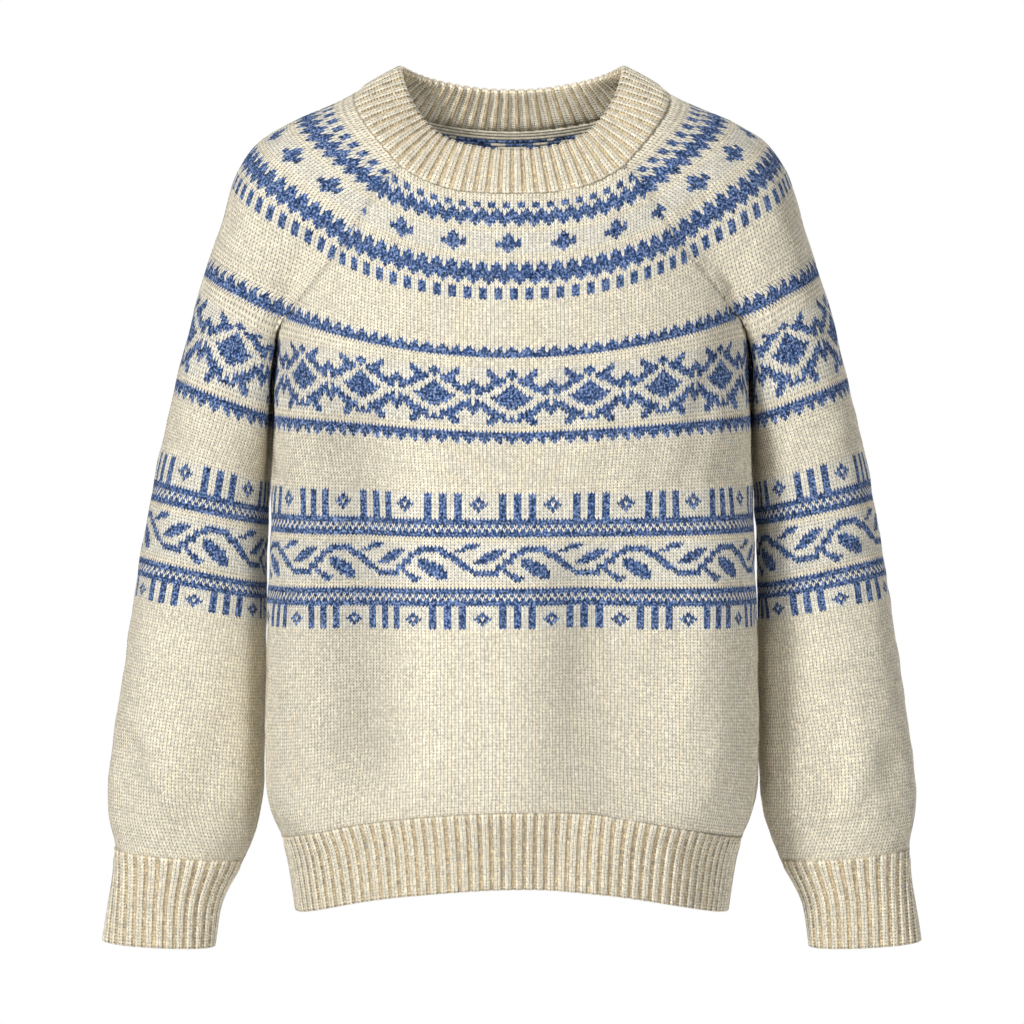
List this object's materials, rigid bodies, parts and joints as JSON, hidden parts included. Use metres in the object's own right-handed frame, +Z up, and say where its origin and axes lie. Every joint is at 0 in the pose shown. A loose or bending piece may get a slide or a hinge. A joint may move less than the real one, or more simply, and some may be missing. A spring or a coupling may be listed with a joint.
{
  "type": "colour-pattern raglan sweater",
  "caption": "Crew-neck raglan sweater in cream wool with blue Nordic bands round the yoke, waist and sleeves, filled out hollow with ribbed neck, hem and cuffs.",
  "frame": {"origin": "on the middle plane, level with the tops of the shoulders just outside the neckband, where the wearer holds the sweater up", "axes": "the sweater faces -Y, +X is the wearer's left, +Z is up"},
  "size_m": [0.6432, 0.2527, 0.6895],
  "materials": {
    "patterned_knit": "soft matt wool, cream ground with blue stranded bands",
    "rib_knit": "soft matt cream wool rib"
  },
  "bodies": {
    "root": {"front_panel": "patterned_knit", "back_panel": "patterned_knit", "sleeve_left": "patterned_knit", "sleeve_right": "patterned_knit", "hem_rib_front": "rib_knit", "hem_rib_back": "rib_knit", "cuff_left": "rib_knit", "cuff_right": "rib_knit", "neckband": "rib_knit"}
  },
  "joints": []
}
